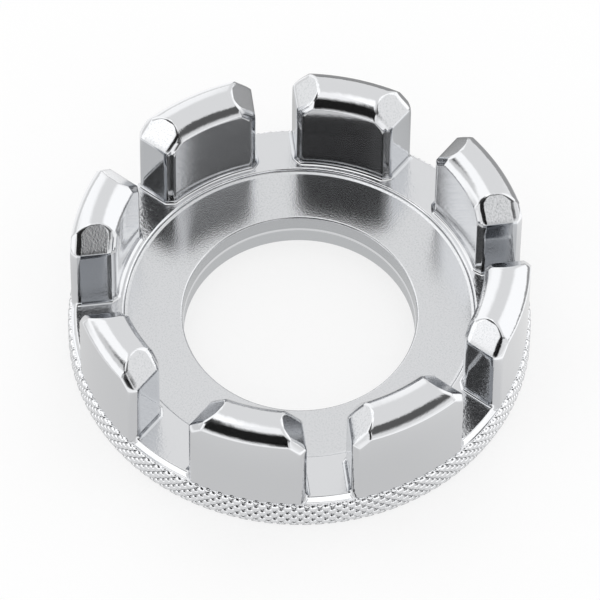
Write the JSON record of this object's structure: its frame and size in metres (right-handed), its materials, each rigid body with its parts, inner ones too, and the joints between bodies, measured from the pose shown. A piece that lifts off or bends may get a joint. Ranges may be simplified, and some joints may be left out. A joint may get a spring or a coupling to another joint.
{
  "type": "spoke wrench",
  "caption": "Round chrome spoke wrench: a knurled ring with upright crowned jaws, slots graded in width between them, and a wide round hole.",
  "frame": {"origin": "centre of the ring on its back face, where the tool lies flat", "axes": "+Z along the ring's axis, from the back face up to the jaws' crowns; +X through the middle of slot 1 and +Y through the middle of slot 3"},
  "size_m": [0.0368, 0.0368, 0.0115],
  "materials": {
    "jaw_chrome": "polished chrome plate over a forged steel body",
    "ring_chrome": "chrome plate over a knurled band and a fine cast grain on the land",
    "disc_chrome": "chrome plate over a pressed centre with fine grain"
  },
  "bodies": {
    "root": {"knurled_rim": "ring_chrome", "centre_disc": "disc_chrome", "jaw_1": "jaw_chrome", "jaw_2": "jaw_chrome", "jaw_3": "jaw_chrome", "jaw_4": "jaw_chrome", "jaw_5": "jaw_chrome", "jaw_6": "jaw_chrome", "jaw_7": "jaw_chrome", "jaw_8": "jaw_chrome"}
  },
  "joints": []
}
